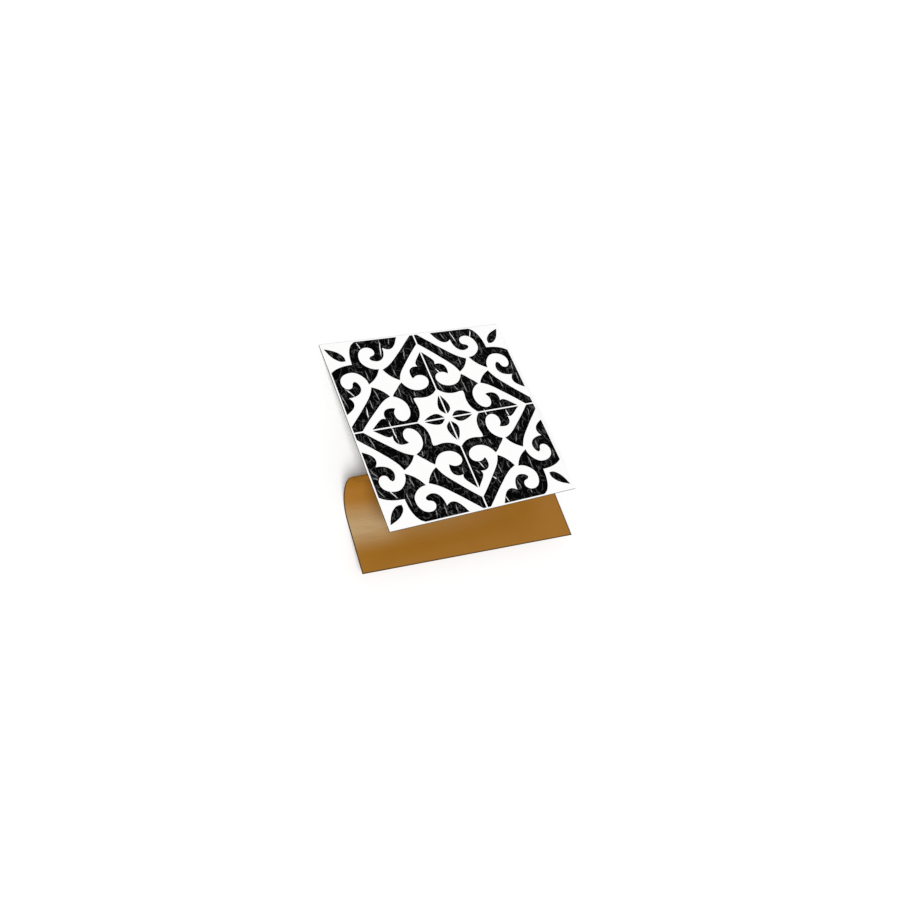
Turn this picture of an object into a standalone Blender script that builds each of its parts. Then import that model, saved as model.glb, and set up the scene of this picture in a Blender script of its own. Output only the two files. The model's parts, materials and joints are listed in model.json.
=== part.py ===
"""A square peel-and-stick vinyl floor tile, its paper release liner almost peeled off.

The liner has been pulled from under the tile and folded forwards. It rises in a wide bend
behind its free end and still clings to the tile's back by one corner of its last edge.
Left alone, the tile leans on its back edge and on that bend.

Tile frame: X to the right along the tile's front edge, Y to its back edge,
Z up through its printed face, with the origin in the middle of its back.
"""
import math

import bmesh
import bpy
from mathutils import Euler, Matrix, Vector

# Vinyl tile, in metres
TILE_SIDE = 0.3048
TILE_THICKNESS = 0.0015
EDGE_EASE = 0.0003
EDGE_EASE_STEPS = 2

# Release liner sheet, in metres
LINER_WIDTH = 0.340
LINER_THICKNESS = 0.0002

# How the liner is bent, from its free end to the edge that clings
LINER_SIDE_LEAD = 0.0318
LINER_FRONT_LEAD = 0.0273
LINER_SKEW_DEG = 3.7
RUN_LENGTH = 0.082
BEND_RADIUS = 0.040
BEND_SWEEP_DEG = 115.0
PEEL_RADIUS = 0.006
CLING_LENGTH = 0.006
SEAT_GAP = 0.0003

# Fineness of the curved stretches
BEND_STEP_DEG = 2.5
PEEL_STEP_DEG = 7.5

TILE_COLOUR = (0.84, 0.84, 0.83, 1.0)
LINER_COLOUR = (0.328, 0.138, 0.0185, 1.0)


def clear_scene():
    for obj in list(bpy.data.objects):
        bpy.data.objects.remove(obj, do_unlink=True)


def make_material(name, colour, roughness):
    material = bpy.data.materials.new(name)
    material.use_nodes = True
    shader = material.node_tree.nodes["Principled BSDF"]
    shader.inputs["Base Color"].default_value = colour
    shader.inputs["Roughness"].default_value = roughness
    shader.inputs["Metallic"].default_value = 0.0
    return material


def make_object(name, bm, material, parent):
    bmesh.ops.recalc_face_normals(bm, faces=bm.faces)
    mesh = bpy.data.meshes.new(name)
    bm.to_mesh(mesh)
    bm.free()
    mesh.materials.append(material)
    obj = bpy.data.objects.new(name, mesh)
    obj.parent = parent
    bpy.context.scene.collection.objects.link(obj)
    return obj


class LinerFold:
    """The liner's side profile: a flat run, a wide bend, a tight peel and a clinging strip.

    A place along it is its distance from the free left corner, square to the bend.
    """

    def __init__(self):
        self.sweep = math.radians(BEND_SWEEP_DEG)
        self.bend_end = RUN_LENGTH + BEND_RADIUS * self.sweep
        self.peel_end = self.bend_end + PEEL_RADIUS * (math.pi - self.sweep)
        rise = (BEND_RADIUS * (1 - math.cos(self.sweep))
                + PEEL_RADIUS * (1 + math.cos(self.sweep)))
        clinging_height = -(SEAT_GAP + LINER_THICKNESS / 2)
        self.run_height = clinging_height - rise
        self.free_end_y = -(TILE_SIDE / 2 + LINER_FRONT_LEAD)
        self.bend_centre = Vector((self.free_end_y + RUN_LENGTH, self.run_height + BEND_RADIUS))
        reach = PEEL_RADIUS - BEND_RADIUS
        self.peel_centre = self.bend_centre + reach * Vector((-math.sin(self.sweep), math.cos(self.sweep)))

    def turn_at(self, place):
        """How far the sheet has turned up from its run, in radians."""
        if place <= RUN_LENGTH:
            return 0.0
        if place <= self.bend_end:
            return (place - RUN_LENGTH) / BEND_RADIUS
        return min(self.sweep + (place - self.bend_end) / PEEL_RADIUS, math.pi)

    def point_at(self, place, height):
        """Y and Z of a point that lies height above the middle of the sheet."""
        turn = self.turn_at(place)
        along = Vector((math.cos(turn), math.sin(turn)))
        up = Vector((-math.sin(turn), math.cos(turn)))
        if place <= RUN_LENGTH:
            middle = Vector((self.free_end_y + place, self.run_height))
        elif place <= self.bend_end:
            middle = self.bend_centre - BEND_RADIUS * up
        elif place <= self.peel_end:
            middle = self.peel_centre - PEEL_RADIUS * up
        else:
            middle = self.peel_centre - PEEL_RADIUS * up + (place - self.peel_end) * along
        return middle + height * up

    def crease_places(self):
        """Where the flat sheet is divided, so that it bends along straight lines."""
        bend_steps = math.ceil(BEND_SWEEP_DEG / BEND_STEP_DEG)
        peel_steps = math.ceil((180.0 - BEND_SWEEP_DEG) / PEEL_STEP_DEG)
        places = [RUN_LENGTH + (self.bend_end - RUN_LENGTH) * i / bend_steps for i in range(bend_steps)]
        places += [self.bend_end + (self.peel_end - self.bend_end) * i / peel_steps
                   for i in range(peel_steps + 1)]
        return places

    def rest_lean(self):
        """Angle between the tile and the floor under its back edge and the bend."""
        back_edge = Vector((TILE_SIDE / 2, 0.0))
        to_centre = back_edge - self.bend_centre
        outer_radius = BEND_RADIUS + LINER_THICKNESS / 2
        return math.atan2(to_centre.y, to_centre.x) + math.asin(outer_radius / to_centre.length)


def make_tile(parent):
    """One die-cut slab, with the edges of its printed face eased."""
    bm = bmesh.new()
    bmesh.ops.create_cube(bm, size=1.0)
    bmesh.ops.scale(bm, vec=(TILE_SIDE, TILE_SIDE, TILE_THICKNESS), verts=bm.verts)
    bmesh.ops.translate(bm, vec=(0.0, 0.0, TILE_THICKNESS / 2), verts=bm.verts)
    face_edges = [edge for edge in bm.edges if all(vert.co.z > TILE_THICKNESS / 2 for vert in edge.verts)]
    bmesh.ops.bevel(bm, geom=face_edges, affect="EDGES", offset=EDGE_EASE, segments=EDGE_EASE_STEPS,
                    profile=0.5, material=-1)
    return make_object("vinyl_tile", bm, make_material("printed_vinyl", TILE_COLOUR, 0.4), parent)


def make_liner(fold, parent):
    """A flat rectangle, turned by its skew, divided along the bend and folded over it."""
    skew = math.radians(LINER_SKEW_DEG)
    length = (fold.peel_end + CLING_LENGTH) / math.cos(skew)
    bm = bmesh.new()
    bmesh.ops.create_cube(bm, size=1.0)
    bmesh.ops.scale(bm, vec=(LINER_WIDTH, length, LINER_THICKNESS), verts=bm.verts)
    bmesh.ops.translate(bm, vec=(LINER_WIDTH / 2, length / 2, 0.0), verts=bm.verts)
    bmesh.ops.rotate(bm, cent=(0.0, 0.0, 0.0), matrix=Matrix.Rotation(-skew, 3, "Z"), verts=bm.verts)
    for place in fold.crease_places():
        whole = bm.verts[:] + bm.edges[:] + bm.faces[:]
        bmesh.ops.bisect_plane(bm, geom=whole, plane_co=(0.0, place, 0.0), plane_no=(0.0, 1.0, 0.0))
    free_left_x = -(TILE_SIDE / 2 + LINER_SIDE_LEAD)
    for vert in bm.verts:
        y, z = fold.point_at(vert.co.y, vert.co.z)
        vert.co = Vector((free_left_x + vert.co.x, y, z))
    liner = make_object("release_liner", bm, make_material("kraft_paper", LINER_COLOUR, 0.5), parent)
    liner.data.shade_smooth()
    liner.data.set_sharp_from_angle(angle=math.radians(30.0))
    return liner


def set_down(rest, pieces, lean):
    """Lean the part as it rests, over the middle of its footprint, on the level ground."""
    turn = Euler((-lean, 0.0, 0.0)).to_matrix()
    corners = [turn @ vert.co for piece in pieces for vert in piece.data.vertices]
    low = Vector([min(corner[axis] for corner in corners) for axis in range(3)])
    high = Vector([max(corner[axis] for corner in corners) for axis in range(3)])
    rest.rotation_euler = (-lean, 0.0, 0.0)
    rest.location = (-(low.x + high.x) / 2, -(low.y + high.y) / 2, -low.z)


def main():
    clear_scene()
    rest = bpy.data.objects.new("tile_at_rest", None)
    bpy.context.scene.collection.objects.link(rest)
    fold = LinerFold()
    tile = make_tile(rest)
    liner = make_liner(fold, rest)
    set_down(rest, [tile, liner], fold.rest_lean())


main()
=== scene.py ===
# %% [markdown]
# A peel-and-stick vinyl floor tile
#
# The tile is a thin square of white vinyl with a black scroll pattern printed on its face. A sheet
# of brown kraft paper covered the glue on its back. The paper has been pulled off and folded
# forwards, and the tile now leans on it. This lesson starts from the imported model, which fixes
# every size, and gives the two sheets their print, paper, light and camera.

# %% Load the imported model
import json
import math

import bmesh
import bpy
from mathutils import Matrix, Vector
from mathutils.geometry import intersect_point_line


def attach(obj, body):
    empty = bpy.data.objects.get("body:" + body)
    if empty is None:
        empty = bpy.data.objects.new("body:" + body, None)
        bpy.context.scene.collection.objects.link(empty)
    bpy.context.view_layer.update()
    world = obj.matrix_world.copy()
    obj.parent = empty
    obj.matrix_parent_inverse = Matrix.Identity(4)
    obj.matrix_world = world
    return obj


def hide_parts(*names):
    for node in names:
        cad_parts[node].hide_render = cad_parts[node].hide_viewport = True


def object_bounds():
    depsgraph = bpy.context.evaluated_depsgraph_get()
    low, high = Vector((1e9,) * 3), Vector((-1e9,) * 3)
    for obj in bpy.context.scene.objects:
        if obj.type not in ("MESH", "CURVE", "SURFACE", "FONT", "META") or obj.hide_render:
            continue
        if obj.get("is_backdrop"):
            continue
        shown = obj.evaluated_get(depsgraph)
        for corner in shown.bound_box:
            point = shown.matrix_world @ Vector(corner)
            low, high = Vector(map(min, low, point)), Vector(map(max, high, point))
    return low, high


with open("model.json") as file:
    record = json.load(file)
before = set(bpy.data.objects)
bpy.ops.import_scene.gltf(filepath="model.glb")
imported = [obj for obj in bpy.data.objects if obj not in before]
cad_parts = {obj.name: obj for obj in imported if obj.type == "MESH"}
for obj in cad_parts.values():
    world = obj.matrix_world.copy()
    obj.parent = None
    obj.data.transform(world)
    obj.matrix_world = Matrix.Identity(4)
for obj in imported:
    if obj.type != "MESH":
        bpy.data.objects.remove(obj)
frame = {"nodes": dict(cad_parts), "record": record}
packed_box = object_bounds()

print("pieces in the packed model:", ", ".join(sorted(frame["nodes"])))

# %% [markdown]
# The tile's own frame
#
# The real tile leans back by about 14 degrees, which makes it awkward to draw on. It is easier to
# work in a frame of the tile's own: X along its front edge, Y towards its back edge and Z up
# through its face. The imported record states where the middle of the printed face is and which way
# it looks, so the frame comes from there and not from numbers typed in again. It is kept twice:
# with its origin in the middle of the face, for the camera and the sun, and in the middle of the
# back, for the two sheets.

# %% Place the tile's own frame
MM = 0.001
TILE_SIDE = 304.8 * MM
TILE_THICKNESS = 1.5 * MM

printed_face = next(mount for mount in frame["record"]["mounts"] if mount["name"] == "printed_face")
face_up = Vector(printed_face["axis"]).normalized()
face_right = Vector((1.0, 0.0, 0.0))
face_back = face_up.cross(face_right)
on_face = Matrix((face_right, face_back, face_up)).transposed().to_4x4()
on_face.translation = Vector(printed_face["pos_m"])
on_back = on_face @ Matrix.Translation((0.0, 0.0, -TILE_THICKNESS))
print("the tile leans back by", round(math.degrees(math.acos(face_up.z)), 2), "degrees")

# %% [markdown]
# A short way to write materials
#
# Blender's materials are nets of nodes. Written out one by one they hide the idea behind the
# wiring, so one small class wraps a socket and lets ordinary sums stand for Math nodes. Only the
# sums that this lesson uses are there, each also with the number first, as in 0.5 - level.

# %% Wrap a socket so that sums can be written on it
class Signal:
    """The value of one socket in a net of nodes."""

    def __init__(self, net, socket):
        self.net = net
        self.socket = socket

    def maths(self, operation, first, second=0.0):
        return self.net.node("ShaderNodeMath", {"operation": operation}, {0: first, 1: second})

    def __add__(self, other):
        return self.maths("ADD", self, other)

    def __sub__(self, other):
        return self.maths("SUBTRACT", self, other)

    def __rsub__(self, other):
        return self.maths("SUBTRACT", other, self)

    def __mul__(self, other):
        return self.maths("MULTIPLY", self, other)

    def at_most(self, other):
        return self.maths("MINIMUM", self, other)

    def at_least(self, other):
        return self.maths("MAXIMUM", self, other)

    __radd__ = __add__
    __rmul__ = __mul__


print("a socket's value can be added to, taken away, multiplied and held to a limit")

# %% [markdown]
# Nets of nodes
#
# The sky and the materials are both nets, so what they share is in one class: a single method
# that makes any kind of node, sets it up and feeds its sockets with numbers or with the values of
# other nodes, and the test for what is looked at, which the sky and the floor both need.

# %% Hold a net of nodes
class Net:
    """A net of nodes, such as the sky's or a material's."""

    def __init__(self, tree):
        self.tree = tree

    def node(self, kind, settings, sockets, output=0):
        made = self.tree.nodes.new(kind)
        for name, value in settings.items():
            setattr(made, name, value)
        self.feed(made, sockets)
        return made if output is None else Signal(self, made.outputs[output])

    def feed(self, made, sockets):
        for name, value in sockets.items():
            if isinstance(value, Signal):
                self.tree.links.new(value.socket, made.inputs[name])
            else:
                made.inputs[name].default_value = value

    def seen(self):
        """1 for what the camera sees, straight or in gloss or through glass, and 0 for light."""
        path = self.node("ShaderNodeLightPath", {}, {}, output=None)
        rays = ("Is Camera Ray", "Is Glossy Ray", "Is Transmission Ray")
        straight, gloss, through = (Signal(self, path.outputs[name]) for name in rays)
        return straight.at_least(gloss).at_least(through)


print("a net can make a node, feed it and tell what is looked at")

# %% [markdown]
# One material
#
# A finish is a net with Blender's Principled shader in it. Every pattern here lies on a flat sheet,
# so its nodes start from one place: the flat map that each piece carries, turned into millimetres.
# Noise, ramps and blends are short methods on top, with sizes in millimetres too.

# %% Hold one material
FLAT_MAP = "flat"
UNIT_OF_MAP = TILE_SIDE


class Finish(Net):
    """One material, with a Principled shader and whatever nodes its finish needs."""

    def __init__(self, name):
        self.material = bpy.data.materials.new(name)
        self.material.use_nodes = True
        super().__init__(self.material.node_tree)
        self.shader = self.tree.nodes["Principled BSDF"]

    def vectors(self, operation, sockets, output=0):
        """Vector Math on places, which an ordinary Math node would turn into one number."""
        return self.node("ShaderNodeVectorMath", {"operation": operation}, sockets, output)

    def sheet_place(self):
        """Where a point lies on the flat sheet, in millimetres."""
        flat = self.node("ShaderNodeUVMap", {"uv_map": FLAT_MAP}, {})
        return self.vectors("SCALE", {0: flat, "Scale": UNIT_OF_MAP / MM})

    def drawn_out(self, place, across, along, turn=0.0, middle=(0.0, 0.0)):
        """The place for a pattern that is made so many times larger each way, turned and moved."""
        sockets = {"Vector": place, "Location": (*middle, 0.0), "Rotation": (0.0, 0.0, turn)}
        sockets["Scale"] = (across, along, 1.0)
        return self.node("ShaderNodeMapping", {"vector_type": "TEXTURE"}, sockets)

    def sheet_sides(self):
        """How far a point lies from the flat sheet's left side and from its front, in mm."""
        parts = self.node("ShaderNodeSeparateXYZ", {}, {0: self.sheet_place()}, output=None)
        return Signal(self, parts.outputs[0]), Signal(self, parts.outputs[1])

    def noise(self, place, size, detail=2.0, roughness=0.5):
        """Soft blotches about size millimetres across, from 0 to 1."""
        sockets = {"Vector": place, "Scale": 1.0 / size, "Detail": detail, "Roughness": roughness}
        return self.node("ShaderNodeTexNoise", {"noise_dimensions": "2D"}, sockets)

    def ramp(self, value, low, high):
        """0 where value is at low, 1 where it is at high, with a soft start and end."""
        sockets = {"Value": value, "From Min": low, "From Max": high}
        return self.node("ShaderNodeMapRange", {"interpolation_type": "SMOOTHSTEP"}, sockets)

    def blend(self, mask, first, second):
        """The first colour where mask is 0, the second where it is 1."""
        # The Mix node numbers its sockets for every kind of value: 6, 7 and output 2 are colours.
        return self.node("ShaderNodeMix", {"data_type": "RGBA"}, {0: mask, 6: first, 7: second}, output=2)

    def bump(self, height, depth, strength):
        """A relief as deep as depth where height goes from 0 to 1."""
        sockets = {"Height": height, "Distance": depth, "Strength": strength}
        return self.node("ShaderNodeBump", {}, sockets)

    def wear(self, **sockets):
        """Set the shader's own sockets, such as Base_Color or Roughness."""
        self.feed(self.shader, {name.replace("_", " "): value for name, value in sockets.items()})
        return self.material


def grey(tone):
    """A plain grey, as a colour socket takes it."""
    return (tone, tone, tone, 1.0)


print("one unit of the flat map is", round(UNIT_OF_MAP / MM, 1), "mm")

# %% [markdown]
# The camera
#
# The picture looks down on the tile's left front corner. The camera's place was fitted to the
# printed square, whose true shape is known, so it is written in the tile's frame, in metres, and
# carried into the world with the tile. The image is taken to be 900 by 900.

# %% Set up the camera
EYE = Vector((-0.5862, -0.5043, 0.9778))
EYE_RIGHT = Vector((0.8690, -0.3637, 0.3356)).normalized()
EYE_UP = Vector((0.1675, 0.8543, 0.4921))
IMAGE_SIDE = 900
FOCAL_PIXELS = 850
SENSOR = 36.0

eye_back = EYE_RIGHT.cross(EYE_UP).normalized()
eye_up = eye_back.cross(EYE_RIGHT)
aim = Matrix((EYE_RIGHT, eye_up, eye_back)).transposed().to_4x4()
aim.translation = EYE

camera_data = bpy.data.cameras.new("camera")
camera_data.sensor_width = SENSOR
camera_data.lens = SENSOR * FOCAL_PIXELS / IMAGE_SIDE
camera = bpy.data.objects.new("camera", camera_data)
camera.matrix_world = on_face @ aim
bpy.context.scene.collection.objects.link(camera)
bpy.context.scene.camera = camera
bpy.context.scene.view_settings.view_transform = "Standard"
print("lens", round(camera_data.lens, 1), "mm, camera", round(camera.matrix_world.translation.z, 2), "m up")

# %% [markdown]
# The floor
#
# The object is shown on plain white. A floor of one bright colour does that and still takes the
# soft shadow that shows how the tile stands off it. Where it is looked at, straight or in a
# gloss, the floor also glows a little, so open floor is white and the object gets no more light.

# %% Lay the floor
FLOOR_SIZE = 16.0
FLOOR_TONE = 0.82
FLOOR_SEEN_TONE = 0.86
FLOOR_SEEN_GLOW = 0.07

floor_paint = Finish("floor_paint")
floor_paint.wear(Base_Color=grey(FLOOR_TONE), Roughness=0.9, Specular_IOR_Level=0.0)
seen_floor = floor_paint.node("ShaderNodeBsdfDiffuse", {}, {"Color": grey(FLOOR_SEEN_TONE)})
glow = floor_paint.node("ShaderNodeEmission", {}, {"Strength": FLOOR_SEEN_GLOW})
seen_floor = floor_paint.node("ShaderNodeAddShader", {}, {0: seen_floor, 1: glow})
plain_floor = Signal(floor_paint, floor_paint.shader.outputs[0])
both = floor_paint.node("ShaderNodeMixShader", {}, {0: floor_paint.seen(), 1: plain_floor, 2: seen_floor})
floor_paint.feed(floor_paint.tree.nodes["Material Output"], {"Surface": both})

bm = bmesh.new()
bmesh.ops.create_grid(bm, x_segments=1, y_segments=1, size=FLOOR_SIZE / 2)
floor_mesh = bpy.data.meshes.new("floor")
bm.to_mesh(floor_mesh)
bm.free()
floor_mesh.materials.append(floor_paint.material)
floor = bpy.data.objects.new("floor", floor_mesh)
bpy.context.scene.collection.objects.link(floor)
floor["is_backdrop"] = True
print("floor", FLOOR_SIZE, "m square")

# %% [markdown]
# The light
#
# The object is shown in plain soft light. A broad sun from the front and a little from the left
# lights the paper under the tile's front edge and throws the tile's soft shadow back under it,
# and even light from all round fills the rest. Together they light the tile's face at about one,
# so each colour renders about as it is written. A sun is even all over the floor, where a lamp
# near by would leave the far floor grey.

# %% Set up the light
SKY_STRENGTH = 0.33
SUN_STRENGTH = 2.85
SUN_PLACE = Vector((-0.34, -0.60, 0.78))
SUN_WIDTH = math.radians(34.0)

sky = bpy.data.worlds.new("sky")
sky.use_nodes = True
bpy.context.scene.world = sky
sky_net = Net(sky.node_tree)
strength = SKY_STRENGTH + (1.0 - SKY_STRENGTH) * sky_net.seen()
sky_net.feed(sky.node_tree.nodes["Background"], {"Color": grey(1.0), "Strength": strength})

sun = bpy.data.lights.new("sun", "SUN")
sun.energy = SUN_STRENGTH
sun.angle = SUN_WIDTH
sun_holder = bpy.data.objects.new("sun", sun)
sun_holder.matrix_world = (on_face.to_3x3() @ SUN_PLACE).to_track_quat("Z", "Y").to_matrix().to_4x4()
bpy.context.scene.collection.objects.link(sun_holder)
face_light = SKY_STRENGTH + SUN_STRENGTH * SUN_PLACE.normalized().z / math.pi
print("light on the tile's face", round(face_light, 3))

# %% [markdown]
# The release liner
#
# The liner is one flat rectangle of paper. It lies flat in front, rises in a wide bend and
# folds tightly back onto the tile. Because it was pulled a little askew, the folds run at a
# slight angle to its edges. Bending a flat sheet over straight lines keeps it true to paper:
# nothing stretches, and the edges turn obliquely round the bend by themselves. The sizes repeat
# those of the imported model. The steps round the bends are finer here, and the two corners of the
# far edge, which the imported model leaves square, are rounded as on a die-cut sheet.

# %% Shape the side view of the fold
LINER_WIDTH = 340.0 * MM
LINER_THICKNESS = 0.2 * MM
LINER_SIDE_LEAD = 31.8 * MM
LINER_FRONT_LEAD = 27.3 * MM
LINER_SKEW = math.radians(3.7)
RUN_LENGTH = 82.0 * MM
BEND_RADIUS = 40.0 * MM
BEND_SWEEP = math.radians(115.0)
PEEL_RADIUS = 6.0 * MM
CLING_LENGTH = 6.0 * MM
SEAT_GAP = 0.3 * MM

bend_end = RUN_LENGTH + BEND_RADIUS * BEND_SWEEP
peel_end = bend_end + PEEL_RADIUS * (math.pi - BEND_SWEEP)
rise = BEND_RADIUS * (1 - math.cos(BEND_SWEEP)) + PEEL_RADIUS * (1 + math.cos(BEND_SWEEP))
run_height = -(SEAT_GAP + LINER_THICKNESS / 2) - rise
free_end_y = -(TILE_SIDE / 2 + LINER_FRONT_LEAD)
bend_centre = Vector((free_end_y + RUN_LENGTH, run_height + BEND_RADIUS))
peel_reach = PEEL_RADIUS - BEND_RADIUS
peel_centre = bend_centre + peel_reach * Vector((-math.sin(BEND_SWEEP), math.cos(BEND_SWEEP)))


def liner_point(place, height):
    """Y and Z of a point at a distance along the liner and a height above its middle."""
    if place <= RUN_LENGTH:
        turn = 0.0
    elif place <= bend_end:
        turn = (place - RUN_LENGTH) / BEND_RADIUS
    else:
        turn = min(BEND_SWEEP + (place - bend_end) / PEEL_RADIUS, math.pi)
    up = Vector((-math.sin(turn), math.cos(turn)))
    if place <= RUN_LENGTH:
        middle = Vector((free_end_y + place, run_height))
    elif place <= bend_end:
        middle = bend_centre - BEND_RADIUS * up
    else:
        middle = peel_centre - PEEL_RADIUS * up
        middle.x -= max(0.0, place - peel_end)
    return middle + height * up


print("liner rises", round(rise / MM, 1), "mm under the tile")

# %% [markdown]
# Helpers for both sheets
#
# Both sheets are made the same way: a mesh is divided by planes, gets its flat map while it is
# still flat, and is carried from the tile's frame into the world at the end. The three helpers
# are written once here.

# %% Map, divide and place a sheet
def lay_map(bm, place_of):
    """Store where each corner of each face lies on the flat sheet."""
    flat = bm.loops.layers.uv.new(FLAT_MAP)
    for face in bm.faces:
        for loop in face.loops:
            loop[flat].uv = place_of(loop.vert.co).xy / UNIT_OF_MAP


def cut(bm, place, across):
    """Divide everything along the plane through a place, square to a direction."""
    whole = bm.verts[:] + bm.edges[:] + bm.faces[:]
    return bmesh.ops.bisect_plane(bm, geom=whole, plane_co=place, plane_no=across)


def finished(name, bm, materials):
    """Turn a mesh from the tile's frame into a piece in the world."""
    mesh = bpy.data.meshes.new(name)
    bm.to_mesh(mesh)
    bm.free()
    mesh.transform(on_back)
    for material in materials:
        mesh.materials.append(material)
    piece = bpy.data.objects.new(name, mesh)
    bpy.context.scene.collection.objects.link(piece)
    return piece


print("the flat map is named", FLAT_MAP)

# %% [markdown]
# Cutting and folding the sheet
#
# The sheet starts as a thin slab in the flat, with its two far corners rounded by a bevel. It is
# turned by its skew, and divided across the fold's direction: finely where it will bend, coarsely
# where it stays straight. Only then does each point move to its place on the folded side view.

# %% Cut the sheet and fold it
FAR_CORNER_RADIUS = 8.0 * MM
FAR_CORNER_STEPS = 8
BEND_STEPS = 96
PEEL_STEPS = 16
RUN_STEPS = 16
CROSS_STEPS = 24
COATED, UNCOATED, CUT_EDGE = range(3)

sheet_length = (peel_end + CLING_LENGTH) / math.cos(LINER_SKEW)
free_left_x = -(TILE_SIDE / 2 + LINER_SIDE_LEAD)
skew = Matrix.Rotation(-LINER_SKEW, 3, "Z")


def at_far_corner(edge):
    """Whether an edge of the slab stands upright at its far end."""
    first, second = (vert.co for vert in edge.verts)
    return (first - second).xy.length < LINER_THICKNESS / 2 and first.y > sheet_length / 2


def side_of(face):
    """Which side of the sheet a face is on, told from the way it looks."""
    if face.normal.z > 0.5:
        return COATED
    return UNCOATED if face.normal.z < -0.5 else CUT_EDGE


bm = bmesh.new()
bmesh.ops.create_cube(bm, size=1.0)
bmesh.ops.scale(bm, vec=(LINER_WIDTH, sheet_length, LINER_THICKNESS), verts=bm.verts)
bmesh.ops.translate(bm, vec=(LINER_WIDTH / 2, sheet_length / 2, 0.0), verts=bm.verts)
bmesh.ops.bevel(
    bm,
    geom=[edge for edge in bm.edges if at_far_corner(edge)],
    offset=FAR_CORNER_RADIUS,
    segments=FAR_CORNER_STEPS,
    profile=0.5,
    affect="EDGES",
    material=-1,
)
bmesh.ops.rotate(bm, cent=(0.0, 0.0, 0.0), matrix=skew, verts=bm.verts)

creases = [RUN_LENGTH * step / RUN_STEPS for step in range(1, RUN_STEPS)]
creases += [RUN_LENGTH + (bend_end - RUN_LENGTH) * step / BEND_STEPS for step in range(BEND_STEPS)]
creases += [bend_end + (peel_end - bend_end) * step / PEEL_STEPS for step in range(PEEL_STEPS + 1)]
for crease in creases:
    cut(bm, (0.0, crease, 0.0), (0.0, 1.0, 0.0))
for step in range(1, CROSS_STEPS):
    cut(bm, (LINER_WIDTH * step / CROSS_STEPS, 0.0, 0.0), (1.0, 0.0, 0.0))

lay_map(bm, lambda place: skew.transposed() @ place)
for face in bm.faces:
    face.material_index = side_of(face)
for vert in bm.verts:
    y, z = liner_point(vert.co.y, vert.co.z)
    vert.co = Vector((free_left_x + vert.co.x, y, z))
bmesh.ops.recalc_face_normals(bm, faces=bm.faces)
print("liner sheet", round(LINER_WIDTH / MM), "by", round(sheet_length / MM), "mm,", len(bm.faces), "faces")

# %% [markdown]
# The kraft paper
#
# Kraft liner is brown paper with a thin release coat on one face, so that face shines softly
# where light grazes it, while the other is plain, duller and darker. That darker brown is partly
# the plain side's own and partly painted shade where the back shows at the top of the bend. Its
# colour is never quite even: fibres lie mostly along the roll, with faint clouds where the pulp
# was thicker, and the cut edges take up dirt and look darker. Stretched noise on the flat map gives
# the fibres their direction, and they follow the sheet round its bend because the map was laid
# before it was folded. The dark line along the cut edge is worked out from the same map.

# %% Give the paper its clouds, fibres and edge line
KRAFT = (0.320, 0.135, 0.0130, 1.0)
KRAFT_LIGHT = (0.348, 0.152, 0.0170, 1.0)
KRAFT_DARK = (0.260, 0.104, 0.0105, 1.0)
# This pale colour is mixed in along the start of the bend as a painted sheen.
PAINTED_SHEEN = (0.555, 0.398, 0.212, 1.0)
# The plain back's darker brown is partly its own tone and partly painted shade.
KRAFT_BACK_AND_SHADE = (0.290, 0.121, 0.0110, 1.0)
KRAFT_CUT = (0.040, 0.018, 0.002, 1.0)
CLOUD_SIZE = 60.0
CLOUD_SHARE = 0.5
FIBRE_SIZE = 0.55
FIBRE_STRETCH = 8.0
FIBRE_SHARE = 0.25
FLECK_SIZE = 0.9
FLECK_STRETCH = 3.0
FLECK_SHARE = 0.30
EDGE_LINE = 2.3
EDGE_LINE_FULL = 0.69


def paper_tone(finish, plain, light, dark):
    """The paper's colour with its clouds, fibres and flecks, and the height of its grain."""
    paper = finish.sheet_place()
    for_fibres = finish.drawn_out(paper, across=1.0, along=FIBRE_STRETCH, turn=0.15)
    for_flecks = finish.drawn_out(paper, across=FLECK_STRETCH, along=1.0, turn=0.5)
    cloud = finish.noise(paper, CLOUD_SIZE)
    fibre = finish.noise(for_fibres, FIBRE_SIZE, detail=4.0, roughness=0.7)
    fleck = finish.noise(for_flecks, FLECK_SIZE)
    tone = finish.blend(finish.ramp(cloud, 0.30, 0.70) * CLOUD_SHARE, plain, light)
    tone = finish.blend(finish.ramp(fibre, 0.48, 0.78) * FIBRE_SHARE, tone, light)
    tone = finish.blend(finish.ramp(fleck, 0.60, 0.80) * FLECK_SHARE, tone, dark)
    return tone, fibre + 0.6 * fleck


def edge_line(finish, wide, long):
    """1 along the sheet's cut edges, fading to 0 within the width of the line."""
    across, along = finish.sheet_sides()
    gap = across.at_most(wide - across).at_most(along.at_most(long - along))
    return finish.ramp(gap, EDGE_LINE, EDGE_LINE_FULL)


print("the dark line fades out", EDGE_LINE, "mm from the cut edge")

# %% [markdown]
# A painted sheen
#
# The painted sheen starts on the flat run, is strongest where the bend begins and fades further up.
# It is strong in the left part only and trails off to the right. The distances are read from the
# picture, in millimetres along and across the flat sheet. Streaks of noise, drawn out along the
# band, break the painted sheen up.

# %% Paint a sheen along the start of the bend
BAND_FRONT = (24.0, 73.0)
BAND_BACK = (114.0, 68.0)
STRONG_PART = (85.0, 38.0)
TRAILING_PART = (290.0, 95.0)
STRONG_SHARE = 0.62
PAINTED_SHEEN_SHARE = 0.85
STREAK_SIZE = 4.0
STREAK_STRETCH = 9.0
STREAK_LEAST = 0.72
STREAK_GAIN = 0.52


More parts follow.
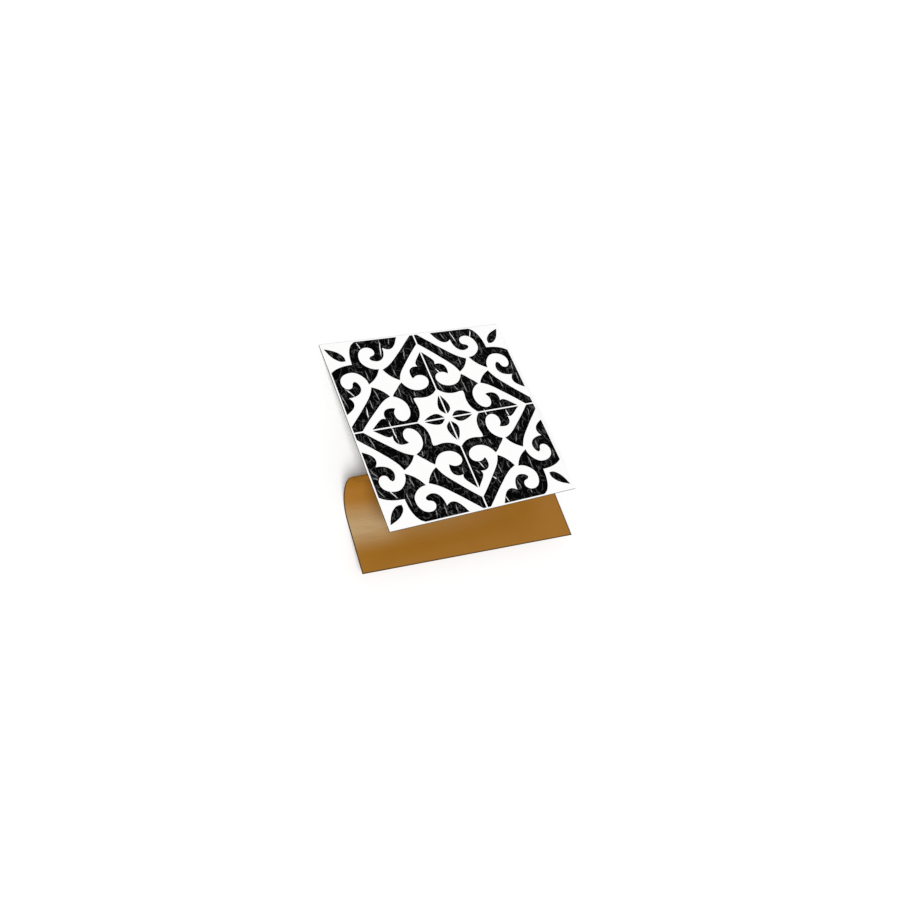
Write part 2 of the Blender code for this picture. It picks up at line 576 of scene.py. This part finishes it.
def painted_sheen(finish):
    """How strong the painted sheen is, from 0 to about 1: along the start of the bend, most at the left."""
    across, along = finish.sheet_sides()
    streaks = finish.drawn_out(finish.sheet_place(), across=STREAK_STRETCH, along=1.0)
    sheen_breakup = finish.noise(streaks, STREAK_SIZE, detail=3.0)
    band = finish.ramp(along, *BAND_FRONT) * finish.ramp(along, *BAND_BACK)
    strong = STRONG_SHARE * finish.ramp(across, *STRONG_PART)
    trailing = (1.0 - STRONG_SHARE) * finish.ramp(across, *TRAILING_PART)
    return band * (strong + trailing) * (STREAK_LEAST + STREAK_GAIN * sheen_breakup)


print("the milky band lies", BAND_FRONT[0], "to", BAND_BACK[0], "mm from the sheet's front")

# %% [markdown]
# The three paper finishes
#
# The liner wears one finish on each side and one on its cut edge. They share the same fibres and
# flecks, and differ in colour, in how rough the surface is and in how much it shines.

# %% Mix the three finishes and lay the liner
SHARP_FROM = math.radians(30.0)
sheet_sizes = (LINER_WIDTH / MM, sheet_length / MM)

coated = Finish("coated_kraft")
tone, grain = paper_tone(coated, KRAFT, KRAFT_LIGHT, KRAFT_DARK)
# A painted sheen is mixed into the coated face's colour along the start of the bend.
tone = coated.blend(painted_sheen(coated) * PAINTED_SHEEN_SHARE, tone, PAINTED_SHEEN)
coated.wear(
    Base_Color=coated.blend(edge_line(coated, *sheet_sizes), tone, KRAFT_CUT),
    Roughness=0.30 + 0.05 * grain,
    Normal=coated.bump(grain, depth=0.02 * MM, strength=0.25),
    Specular_IOR_Level=0.22,
)

uncoated = Finish("plain_kraft_back_and_shade")
# The plain back's darker brown is partly painted shade.
tone, grain = paper_tone(uncoated, KRAFT_BACK_AND_SHADE, KRAFT_DARK, KRAFT_CUT)
uncoated.wear(
    Base_Color=tone,
    Roughness=0.70 + 0.08 * grain,
    Normal=uncoated.bump(grain, depth=0.04 * MM, strength=0.4),
    Specular_IOR_Level=0.15,
)

kraft_cut = Finish("kraft_cut_edge")
cut_fibre = kraft_cut.noise(kraft_cut.sheet_place(), size=0.3, detail=3.0)
kraft_cut.wear(
    Base_Color=kraft_cut.blend(cut_fibre, KRAFT_CUT, KRAFT_DARK),
    Roughness=0.8,
    Specular_IOR_Level=0.1,
)

liner = finished("kraft_liner", bm, [coated.material, uncoated.material, kraft_cut.material])
liner.data.shade_smooth()
liner.data.set_sharp_from_angle(angle=SHARP_FROM)
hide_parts("release_liner")
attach(liner, "root")
print("liner laid, finishes:", ", ".join(material.name for material in liner.data.materials))

# %% [markdown]
# The printed pattern
#
# The pattern is a traditional scroll ornament with the same quarter in each corner of the tile,
# mirrored about both centre lines, and each quarter is mirrored again about its diagonal. So
# only an eighth has to be drawn. Each black shape is a closed outline through a few points:
# smooth stretches pass through plain points, and a point marked TIP is a sharp corner. Places
# are in millimetres from the tile's middle, X to the right and Y to the back. Shapes beside a
# centre line stop a little short of it, at JOINT, and so leave the thin white line between the
# mirrored halves. Shapes at the edge of the print run on past it, to about BLEED, and are cut
# there later. The picture's print is a little wider than it is deep, so the drawing is stretched
# to match once it is filled.

# %% Draw an eighth of the pattern
TIP = "tip"
JOINT = 1.1
PRINT_HALF = 150.0
PRINT_STRETCH = (1.0155, 0.985, 1.0)
BLEED = 158.0

petal = [
    (JOINT, 6.4, TIP), (4.6, 9.4), (7.9, 13.2), (9.3, 18.5), (8.4, 24.5), (6.2, 30.5), (3.6, 35.5),
    (JOINT, 39.6, TIP),
]
heart_half = [
    (41.0, 41.0, TIP), (36.0, 41.3), (30.5, 40.3), (25.0, 39.9), (20.0, 40.2), (15.0, 41.2),
    (10.0, 43.2), (5.0, 46.6), (JOINT, 50.2, TIP),
    (JOINT, 120.2, TIP), (5.0, 115.3), (10.0, 109.4), (13.8, 104.4), (15.6, 100.2), (15.4, 97.2),
    (14.4, 94.8, TIP), (20.0, 95.4), (25.0, 94.0), (28.6, 91.0), (30.4, 87.0), (30.8, 82.0),
    (30.3, 77.8), (29.3, 74.8, TIP), (26.8, 76.7), (23.0, 78.8), (18.0, 79.4), (12.0, 77.8),
    (8.0, 74.0), (6.5, 69.0), (8.0, 63.3), (12.0, 58.4), (17.0, 55.5), (23.0, 54.0), (29.0, 54.0),
    (35.0, 55.4), (40.5, 58.6), (45.5, 63.8), (49.8, 71.2, TIP), (55.5, 66.5),
]
heart_middle = [(60.8, 60.8)]
chevron = [
    (JOINT, 134.8, TIP), (10.0, 126.0), (20.0, 115.6), (30.0, 104.6), (36.0, 98.0), (40.5, 92.8),
    (44.2, 87.8), (47.2, 82.6), (50.2, 75.2, TIP), (55.8, 78.8), (60.8, 83.2), (66.0, 89.6),
    (70.4, 97.4, TIP), (65.5, 99.7), (60.0, 102.6), (50.0, 110.0), (40.0, 119.2), (30.0, 128.6),
    (20.0, 138.6), (10.0, 148.4), (JOINT, BLEED - 1.0, TIP),
]
scroll_half = [
    (75.4, 99.4, TIP), (80.0, 99.7), (85.0, 101.2), (90.0, 104.1), (95.0, 108.8), (98.4, 114.4),
    (99.3, 121.0), (98.0, 128.2), (94.8, 134.0), (89.6, 138.2), (83.0, 139.6), (77.0, 138.0),
    (73.2, 134.2), (72.4, 129.4), (74.2, 125.6), (77.6, 123.8), (81.0, 122.6), (83.6, 119.4, TIP),
    (81.6, 116.4), (77.5, 114.2), (72.0, 113.2), (66.8, 114.6), (62.0, 118.6), (59.0, 124.4),
    (57.6, 130.5), (57.4, 136.0, TIP), (52.4, 132.8), (47.0, 131.8), (41.4, 133.8), (37.0, 138.0),
    (33.2, 143.6), (29.7, 150.0), (26.0, BLEED - 2.0, TIP), (90.0, BLEED - 2.0, TIP),
    (97.2, 151.8), (102.2, 148.4), (105.6, 144.2), (108.4, 139.0), (110.6, 132.5), (112.0, 126.0),
    (112.7, 119.4), (113.0, 113.0, TIP),
]
scroll_middle = [(85.3, 85.3), (80.2, 91.4)]
leaf_half = [(120.2, 120.2, TIP), (120.2, 126.6), (124.4, 133.6), (131.0, 139.2), (138.6, 143.0)]
leaf_tip = [(145.8, 145.8, TIP)]


def swapped(points):
    """The same points on the other side of the diagonal, in the opposite order."""
    return [(point[1], point[0], *point[2:]) for point in reversed(points)]


heart = heart_half + heart_middle + swapped(heart_half[1:])
scroll = scroll_middle + scroll_half + swapped(scroll_half[:-1]) + swapped(scroll_middle[1:])
leaf = leaf_half + leaf_tip + swapped(leaf_half[1:])
quarter = [petal, swapped(petal), heart, chevron, swapped(chevron), scroll, leaf]
print(len(quarter), "black shapes in a quarter,", sum(map(len, quarter)), "points")

# %% [markdown]
# Filling the outlines
#
# Each outline becomes one closed curve with automatic handles. Blender fills flat curves, and it
# leaves holes where one lies inside another: the black shapes alone give the ink, and the same
# shapes inside a square give the white ground between them. Both have the same points along
# their edges, so they weld into one face of one sheet, with the colours parted as cleanly as in
# a print.

# %% Turn outlines into flat faces
CURVE_STEPS = 5


def filled(outlines):
    """A flat mesh of closed outlines, one inside another being a hole."""
    curve = bpy.data.curves.new("outlines", "CURVE")
    curve.dimensions = "2D"
    curve.fill_mode = "BOTH"
    curve.resolution_u = CURVE_STEPS
    for outline in outlines:
        line = curve.splines.new("BEZIER")
        line.bezier_points.add(len(outline) - 1)
        line.use_cyclic_u = True
        for knot, point in zip(line.bezier_points, outline):
            handle = "VECTOR" if TIP in point else "AUTO"
            knot.co = (point[0] * MM, point[1] * MM, 0.0)
            knot.handle_left_type = handle
            knot.handle_right_type = handle
    holder = bpy.data.objects.new("outlines", curve)
    mesh = bpy.data.meshes.new_from_object(holder)
    bpy.data.objects.remove(holder)
    bpy.data.curves.remove(curve)
    return mesh


print("each stretch between two points is drawn in", CURVE_STEPS, "steps")

# %% [markdown]
# Solid rims
#
# Each black shape has a plain solid rim round its marbled inside, made by an inset of the shape
# as one face. In a sharp tip the rims of the two sides would cross. There the inset's corners come
# nearer to the outline than the rim is wide, so they are drawn back to the last ones that don't.

# %% Draw back the corners in sharp tips
RIM = 1.8 * MM
RIM_AT_LEAST = 0.97 * RIM


def gap_to(place, edges):
    """The distance from a place to the nearest of some edges."""
    gaps = []
    for edge in edges:
        start, end = edge.verts[0].co, edge.verts[1].co
        share = intersect_point_line(place, start, end)[1]
        gaps.append((start.lerp(end, min(max(share, 0.0), 1.0)) - place).length)
    return min(gaps)


def clear_tips(bm, inside):
    """Draw back the corners of an inset face that lie nearer the outline than its rim is wide."""
    rim = {face for edge in inside.edges for face in edge.link_faces if face is not inside}
    outline = [edge for face in rim for edge in face.edges if edge.is_boundary]
    corners = inside.verts[:]
    clear = [index for index, vert in enumerate(corners) if gap_to(vert.co, outline) > RIM_AT_LEAST]
    moved = {}
    for index in set(range(len(corners))) - set(clear):
        steps = [min((index - other) % len(corners), (other - index) % len(corners)) for other in clear]
        moved[corners[index]] = corners[clear[steps.index(min(steps))]]
    bmesh.ops.weld_verts(bm, targetmap=moved)
    return len(moved)


print("the rims are", round(RIM / MM, 1), "mm wide")

# %% [markdown]
# One quarter of the face
#
# First the ink: the shapes are filled, each is made one face, and the rims are inset. Then the
# ground comes in around it and is welded on, and the whole quarter is stretched to the picture's
# proportions. Each kind of face gets the number of its finish, in the order of the list of
# finishes that the tile is given at the end.

# %% Fill the ink and the ground
GROUND, INK_RIM, INK, CORE, GLUE = range(5)
WELD = 0.001 * MM
bleed_square = [(0.0, 0.0, TIP), (BLEED, 0.0, TIP), (BLEED, BLEED, TIP), (0.0, BLEED, TIP)]


def face_up_all(bm):
    """Turn over every face that looks down."""
    bm.normal_update()
    bmesh.ops.reverse_faces(bm, faces=[face for face in bm.faces if face.normal.z < 0])


bm = bmesh.new()
bm.from_mesh(filled(quarter))
bmesh.ops.remove_doubles(bm, verts=bm.verts, dist=WELD)
bmesh.ops.dissolve_faces(bm, faces=bm.faces)
face_up_all(bm)
insides = bm.faces[:]
for face in bmesh.ops.inset_region(bm, faces=insides, thickness=RIM, use_boundary=True)["faces"]:
    face.material_index = INK_RIM
for face in insides:
    face.material_index = INK
drawn_back = sum(clear_tips(bm, face) for face in insides)
inked = len(bm.faces)
bm.from_mesh(filled(quarter + [bleed_square]))
bmesh.ops.remove_doubles(bm, verts=bm.verts, dist=WELD)
face_up_all(bm)
bmesh.ops.scale(bm, vec=PRINT_STRETCH, verts=bm.verts)
print(len(insides), "black shapes in", inked, "faces, of", len(bm.faces), "in the quarter")
print(drawn_back, "corners drawn back from sharp tips")

# %% [markdown]
# From a quarter to the whole sheet
#
# The quarter is mirrored twice about the centre lines. The print stops a little short of the
# die-cut edge and leaves a narrow white margin, so the sheet is divided along the edge of the
# print and everything outside it is ground. Then it is trimmed to size, and the trimmed edge is
# pulled out and down, ring by ring: first round the eased edge, then down the side. One face
# across the back closes the sheet.

# %% Make the tile sheet
EDGE_EASE = 0.3 * MM
EASE_STEPS = 4
OUTWARDS = [Vector((1, 0, 0)), Vector((-1, 0, 0)), Vector((0, 1, 0)), Vector((0, -1, 0))]

for axis in ("X", "Y"):
    whole = bm.verts[:] + bm.edges[:] + bm.faces[:]
    bmesh.ops.mirror(bm, geom=whole, merge_dist=WELD, axis=axis)
face_up_all(bm)

for outward in OUTWARDS:
    cut(bm, outward * PRINT_HALF * MM, outward)
for face in bm.faces:
    middle = face.calc_center_median()
    if max(abs(middle.x), abs(middle.y)) > PRINT_HALF * MM:
        face.material_index = GROUND
top_half = TILE_SIDE / 2 - EDGE_EASE
for outward in OUTWARDS:
    whole = bm.verts[:] + bm.edges[:] + bm.faces[:]
    bmesh.ops.bisect_plane(bm, geom=whole, plane_co=outward * top_half, plane_no=outward, clear_outer=True)
bmesh.ops.translate(bm, vec=(0.0, 0.0, TILE_THICKNESS), verts=bm.verts)


def pull_edge(bm, ring, grow, drop, kind):
    """Extrude the open edge outwards and down, and return the new open edge."""
    made = bmesh.ops.extrude_edge_only(bm, edges=ring)["geom"]
    verts = [part for part in made if isinstance(part, bmesh.types.BMVert)]
    bmesh.ops.scale(bm, vec=(grow, grow, 1.0), verts=verts)
    bmesh.ops.translate(bm, vec=(0.0, 0.0, -drop), verts=verts)
    for part in made:
        if isinstance(part, bmesh.types.BMFace):
            part.material_index = kind
    return [part for part in made if isinstance(part, bmesh.types.BMEdge) and part.is_boundary]


ring = [edge for edge in bm.edges if edge.is_boundary]
out, down = 0.0, 0.0
for step in range(1, EASE_STEPS + 1):
    turn = math.pi / 2 * step / EASE_STEPS
    next_out = EDGE_EASE * math.sin(turn)
    next_down = EDGE_EASE * (1 - math.cos(turn))
    kind = GROUND if step == 1 else CORE
    ring = pull_edge(bm, ring, (top_half + next_out) / (top_half + out), next_down - down, kind)
    out, down = next_out, next_down
ring = pull_edge(bm, ring, 1.0, TILE_THICKNESS - EDGE_EASE, CORE)
back = bmesh.ops.edgeloop_fill(bm, edges=ring, mat_nr=GLUE)["faces"]
bmesh.ops.recalc_face_normals(bm, faces=bm.faces)
lay_map(bm, lambda place: place)
open_edges = [edge for edge in bm.edges if len(edge.link_faces) != 2]
print("tile", len(bm.faces), "faces,", len(open_edges), "open edges, back faces", len(back))

# %% [markdown]
# The white ground
#
# The face of the tile is white vinyl under a clear wear layer. It is satin, not glossy, with a
# very fine pebble pressed into it so that the floor isn't slippery. The same pebble runs over
# the black ink, because the wear layer covers both. The colour has a faint haze of a slightly
# darker white.

# %% Mix the white
WHITE = (0.965, 0.965, 0.961, 1.0)
WHITE_CLOUD = (0.950, 0.950, 0.945, 1.0)
HAZE_SIZE = 34.0
PEBBLE_SIZE = 0.9
SWELL_SIZE = 4.0
PEBBLE_DEPTH = 0.02 * MM


def pebble(finish):
    """The fine pressed texture of the wear layer."""
    place = finish.sheet_place()
    height = finish.noise(place, PEBBLE_SIZE) + 0.5 * finish.noise(place, SWELL_SIZE)
    return finish.bump(height, depth=PEBBLE_DEPTH, strength=0.3)


ground = Finish("white_vinyl")
haze = ground.noise(ground.sheet_place(), HAZE_SIZE, detail=3.0)
ground.wear(
    Base_Color=ground.blend(ground.ramp(haze, 0.35, 0.75), WHITE, WHITE_CLOUD),
    Roughness=0.40 + 0.08 * haze,
    Normal=pebble(ground),
    Specular_IOR_Level=0.25,
)
print("white vinyl with a pebble", PEBBLE_SIZE, "mm across")

# %% [markdown]
# The veins
#
# The black is printed to look like black marble. Short steep veins stand in it: some pale, which
# cut through the shapes' solid rims, and more that are faint and stay inside them. Each is given
# by its two ends, in the same millimetres as the outlines, where the picture shows it.

# %% List the veins
pale_veins = [
    ((-96.5, 151.0), (-91.5, 134.0)), ((-57.5, 152.0), (-65.5, 114.0)), ((62.0, 151.0), (67.0, 126.0)),
    ((100.5, 148.0), (92.5, 130.0)), ((-140.0, 74.0), (-126.5, 55.0)), ((-118.0, 40.0), (-121.5, 17.0)),
    ((-94.0, 16.0), (-90.5, -31.0)), ((11.5, 87.0), (18.0, 75.0)), ((-134.0, -90.0), (-123.5, -110.0)),
    ((16.5, -76.0), (22.5, -92.0)), ((34.5, -136.0), (37.5, -151.0)), ((98.0, -2.0), (99.0, -17.0)),
    ((63.0, 5.0), (63.0, -9.0)), ((28.5, -104.0), (33.5, -112.0)),
]
faint_veins = [
    ((-24.0, 132.0), (-31.0, 106.0)), ((-42.0, 150.0), (-46.0, 136.0)), ((-55.0, 97.0), (-54.0, 80.0)),
    ((-99.0, 100.0), (-98.0, 78.0)), ((-149.0, 68.0), (-144.0, 38.0)), ((-37.0, 54.0), (-37.0, 41.0)),
    ((45.0, 149.0), (50.0, 134.0)), ((33.0, 122.0), (36.0, 108.0)), ((58.0, 102.0), (58.0, 83.0)),
    ((5.0, 64.0), (11.0, 43.0)), ((30.0, 55.0), (35.0, 40.0)), ((47.0, 64.0), (48.0, 34.0)),
    ((62.0, 60.0), (62.0, 44.0)), ((98.0, 64.0), (98.0, 43.0)), ((111.0, 50.0), (112.0, 34.0)),
    ((94.0, 13.0), (94.0, 1.0)), ((146.0, 80.0), (142.0, 60.0)), ((147.0, 62.0), (143.0, 38.0)),
    ((-133.0, -4.0), (-127.0, -32.0)), ((-45.0, -12.0), (-53.0, -40.0)),
    ((-149.0, -56.0), (-140.0, -74.0)), ((-97.0, -77.0), (-94.0, -100.0)),
    ((-110.0, -96.0), (-108.0, -130.0)), ((-149.0, -88.0), (-140.0, -105.0)),
    ((-57.0, -78.0), (-58.0, -100.0)), ((-11.0, -78.0), (-15.0, -99.0)), ((-76.0, -132.0), (-79.0, -149.0)),
    ((-62.0, -129.0), (-63.0, -149.0)), ((-45.0, -133.0), (-46.0, -149.0)), ((6.0, -89.0), (12.0, -98.0)),
    ((49.0, -12.0), (52.5, -25.0)), ((35.0, -40.0), (36.0, -51.0)), ((45.0, -86.0), (46.0, -107.0)),
    ((61.0, -86.0), (61.0, -98.0)), ((64.0, -118.0), (66.0, -136.0)), ((80.0, -134.0), (79.0, -149.0)),
    ((107.0, -31.0), (103.0, -44.0)), ((124.0, -61.0), (122.0, -78.0)), ((137.0, -5.0), (134.0, -22.0)),
    ((146.0, -80.0), (142.0, -100.0)), ((34.0, -112.0), (37.0, -120.0)), ((98.5, -45.0), (91.0, -60.0)),
    ((-62.0, -42.0), (-64.5, -58.0)), ((-97.0, 68.0), (-94.5, 44.0)), ((-109.0, 51.0), (-109.0, 32.0)),
    ((-58.5, 65.0), (-60.0, 43.0)), ((-46.0, 47.0), (-46.0, 30.0)), ((99.0, -82.0), (99.0, -109.0)),
    ((47.0, -44.0), (50.5, -57.0)), ((-149.0, -70.0), (-138.0, -78.0)),
]
print(len(pale_veins), "pale veins and", len(faint_veins), "faint ones")

# %% [markdown]
# Lines made of ellipses and noise
#
# A vein is drawn as a long thin ellipse from one end to the other: the place is turned and scaled
# so that the ellipse becomes a circle, and what lies within it is on the vein. The place has been
# moved about by a little noise first, so the vein wavers. Between the veins lies a net of grey
# wisps. They follow the lines where a noise passes its middle value, which wander and close as
# marble's do.

# %% Draw veins and wisps
PALE_HALF = 1.05
FAINT_HALF = 0.85
BEND_SIZE = 6.0
BEND_AMOUNT = 2.5


def on_veins(finish, place, veins, half):
    """1 on the middles of the veins, fading to 0 over their width."""
    nearest = None
    for start, end in veins:
        middle = (Vector(start) + Vector(end)) / 2
        reach = (Vector(end) - Vector(start)) / 2
        turn = math.atan2(reach.y, reach.x)
        local = finish.drawn_out(place, reach.length, half, turn, middle)
        gap = finish.vectors("LENGTH", {0: local}, output="Value")
        nearest = gap if nearest is None else nearest.at_most(gap)
    return finish.ramp(nearest, 1.0, 0.5)


def bent(finish, place):
    """The place, moved about by noise, so that straight things waver."""
    sockets = {"Vector": place, "Scale": 1.0 / BEND_SIZE, "Detail": 2.0}
    drift = finish.node("ShaderNodeTexNoise", {"noise_dimensions": "2D"}, sockets, output="Color")
    drift = finish.vectors("SUBTRACT", {0: drift, 1: (0.5, 0.5, 0.5)})
    drift = finish.vectors("SCALE", {0: drift, "Scale": BEND_AMOUNT})
    return finish.vectors("ADD", {0: place, 1: drift})


def wisps(finish, place, size, half):
    """1 on the wandering lines where a noise passes its middle value."""
    level = finish.noise(place, size, detail=1.5)
    return finish.ramp((level - 0.5).at_least(0.5 - level), half, 0.0)


print("pale veins are", 2 * PALE_HALF, "mm wide, faint ones", 2 * FAINT_HALF, "mm")

# %% [markdown]
# The two inks
#
# The rim is solid black, crossed only by the pale veins. The inside is black with charcoal clouds,
# and over them come the net of wisps, the faint veins and the pale ones, each covering the last.
# The wisps lean one way in some patches and the other way in the rest, as in the picture. The
# picture shows no sheen on the black, so both inks have next to no gloss.

# %% Mix the black and the marbled ink
BLACK = (0.0003, 0.0003, 0.0004, 1.0)
CHARCOAL = (0.0016, 0.0016, 0.0018, 1.0)
WISP = (0.070, 0.070, 0.072, 1.0)
FAINT_VEIN = (0.30, 0.30, 0.305, 1.0)
PALE_VEIN = grey(0.92)
INK_GLOSS = 0.012
PATCH_SIZE = 12.0
INK_CLOUD_SIZE = 3.5
LEFT_WISP_SIZE = 10.0
LEFT_WISP_HALF = 0.034
RIGHT_WISP_SIZE = 12.0
RIGHT_WISP_HALF = 0.030

rim_ink = Finish("black_ink")
rim_place = rim_ink.sheet_place()
rim_tone = rim_ink.noise(rim_place, PATCH_SIZE)
rim_veins = on_veins(rim_ink, bent(rim_ink, rim_place), pale_veins, PALE_HALF)
rim_ink.wear(
    Base_Color=rim_ink.blend(rim_veins, BLACK, PALE_VEIN),
    Roughness=0.44 + 0.08 * rim_tone,
    Normal=pebble(rim_ink),
    Specular_IOR_Level=INK_GLOSS,
)

marble = Finish("marbled_ink")
place = marble.sheet_place()
wavering = bent(marble, place)
patches = marble.noise(place, PATCH_SIZE)
clouds = marble.noise(marble.drawn_out(place, across=1.0, along=2.0), INK_CLOUD_SIZE, detail=3.0)
leaning_left = marble.drawn_out(place, across=1.0, along=1.8, turn=0.45)
leaning_right = marble.drawn_out(place, across=1.0, along=2.2, turn=-0.25)
left_wisps = wisps(marble, leaning_left, LEFT_WISP_SIZE, LEFT_WISP_HALF)
right_wisps = wisps(marble, leaning_right, RIGHT_WISP_SIZE, RIGHT_WISP_HALF)
left_wisps = left_wisps * marble.ramp(patches, 0.40, 0.55)
right_wisps = right_wisps * marble.ramp(patches, 0.58, 0.46)
ink_tone = marble.blend(marble.ramp(clouds, 0.40, 0.72), BLACK, CHARCOAL)
ink_tone = marble.blend(left_wisps.at_least(right_wisps), ink_tone, WISP)
ink_tone = marble.blend(on_veins(marble, wavering, faint_veins, FAINT_HALF), ink_tone, FAINT_VEIN)
ink_tone = marble.blend(on_veins(marble, wavering, pale_veins, PALE_HALF), ink_tone, PALE_VEIN)
marble.wear(
    Base_Color=ink_tone,
    Roughness=0.44 + 0.10 * clouds,
    Normal=pebble(marble),
    Specular_IOR_Level=INK_GLOSS,
)
print("the marbled ink has", len(marble.tree.nodes), "nodes")

# %% [markdown]
# The cut edge and the back
#
# The die leaves the filled vinyl bare on the four edges. It is near black there: partly the bare
# vinyl's own dark grey and partly painted shade, which draws the thin dark line that the picture
# shows under the white margin. The back is paler grey with a thin coat of clear glue: slightly
# yellow, blotchy where it lies thicker, combed in fine lines by the roller that spread it, and
# shinier than the face.

# %% Mix the edge and the glue, and finish the tile
# The edge's near-black colour is partly the bare vinyl's own and partly painted shade under the white
# margin.
CORE_DARK_AND_SHADE = (0.009, 0.008, 0.007, 1.0)
CORE_SPECK = (0.030, 0.028, 0.025, 1.0)
GLUE_THIN = (0.52, 0.51, 0.48, 1.0)
GLUE_THICK = (0.44, 0.42, 0.35, 1.0)
SPECK_SIZE = 0.6
BLOTCH_SIZE = 9.0
COMBED_SIZE = 1.6

core = Finish("vinyl_core_and_shade")
speck = core.noise(core.sheet_place(), SPECK_SIZE)
core.wear(
    Base_Color=core.blend(core.ramp(speck, 0.5, 0.8), CORE_DARK_AND_SHADE, CORE_SPECK),
    Roughness=0.6 + 0.2 * speck,
    Specular_IOR_Level=0.1,
)

glue = Finish("glued_back")
glue_place = glue.sheet_place()
coat = glue.noise(glue.drawn_out(glue_place, across=1.0, along=3.0), BLOTCH_SIZE, detail=3.0)
combed = glue.noise(glue.drawn_out(glue_place, across=1.0, along=30.0), COMBED_SIZE, detail=1.0)
glue.wear(
    Base_Color=glue.blend(glue.ramp(coat + 0.25 * combed, 0.45, 0.85), GLUE_THIN, GLUE_THICK),
    Roughness=0.16 + 0.16 * coat,
    Normal=glue.bump(combed + coat, depth=0.05 * MM, strength=0.4),
)

finishes = [ground.material, rim_ink.material, marble.material, core.material, glue.material]
tile = finished("printed_tile", bm, finishes)
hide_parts("vinyl_tile")
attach(tile, "root")
print("tile laid, finishes:", ", ".join(material.name for material in finishes))

# %% [markdown]
# The size
#
# The dressed model has to fill the imported model's box. Both boxes are printed, so they can be
# compared. They agree but for half a millimetre at the right, where the liner's far right corner
# is rounded here and square in the imported model.

# %% Write the sizes and finish
dressed_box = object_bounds()
for name, box in (("packed", packed_box), ("dressed", dressed_box)):
    print(name, "box in mm", [round((high - low) / MM, 1) for low, high in zip(*box)])
